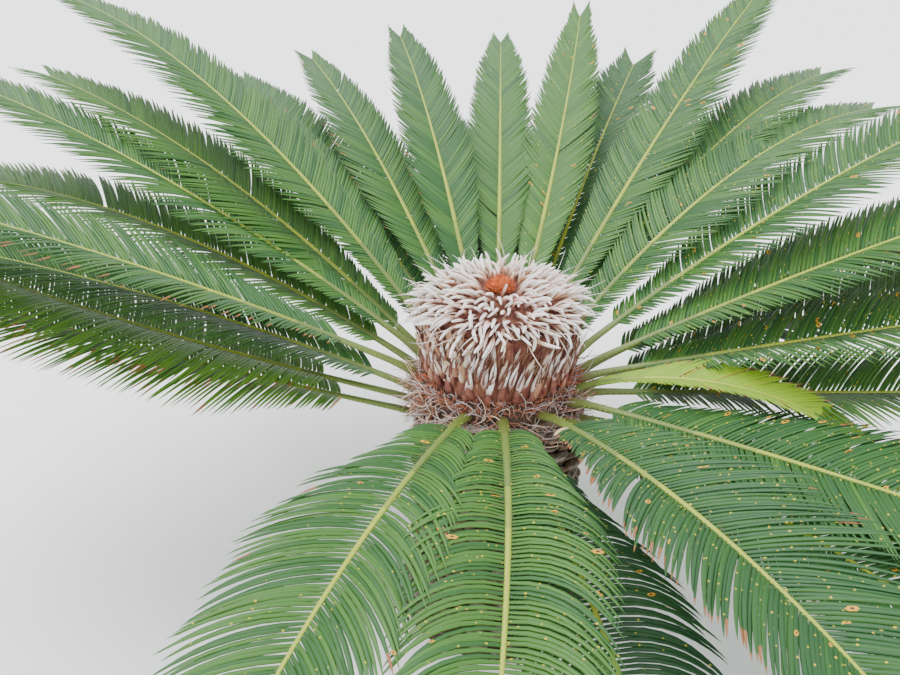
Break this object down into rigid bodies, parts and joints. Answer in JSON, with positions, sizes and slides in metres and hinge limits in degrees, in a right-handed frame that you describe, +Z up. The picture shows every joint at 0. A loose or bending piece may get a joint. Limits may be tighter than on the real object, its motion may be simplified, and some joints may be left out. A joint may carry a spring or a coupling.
{
  "type": "sago palm",
  "caption": "Low sago palm, a cycad: stout scaly trunk with a flat ground cut, woolly domed head, and a full crown of arching feather fronds.",
  "frame": {"origin": "centre of the flat cut under the trunk, at ground level", "axes": "+Z straight up along the trunk, -Y towards the viewer of the picture, +X to the viewer's right"},
  "size_m": [2.7518, 2.4612, 1.0865],
  "materials": {
    "bark": "rough brown leaf bases in a spiral, grey and worn, with orange fibres at the collar",
    "scale": "dry red-brown pointed scale leaves with dark awl tips and pale wool between them",
    "wool": "matt grey-white to pinkish wool on slim curled tips",
    "felt": "fuzzy orange-brown felt",
    "frond": "glossy green leaflets with paler edges on yellow-green ribs, some tips brown"
  },
  "bodies": {
    "root": {"trunk": "bark", "head": "scale", "crown_wool": "wool", "heart": "felt", "frond_01": "frond", "frond_02": "frond", "frond_03": "frond", "frond_04": "frond", "frond_05": "frond", "frond_06": "frond", "frond_07": "frond", "frond_08": "frond", "frond_09": "frond", "frond_10": "frond", "frond_11": "frond", "frond_12": "frond", "frond_13": "frond", "frond_14": "frond", "frond_15": "frond", "frond_16": "frond", "frond_17": "frond", "frond_18": "frond", "frond_19": "frond", "frond_20": "frond", "frond_21": "frond", "frond_22": "frond", "frond_23": "frond", "frond_24": "frond", "frond_25": "frond", "frond_26": "frond", "frond_27": "frond", "frond_28": "frond", "frond_29": "frond", "frond_30": "frond", "frond_31": "frond", "frond_32": "frond", "frond_33": "frond", "frond_34": "frond"}
  },
  "joints": []
}
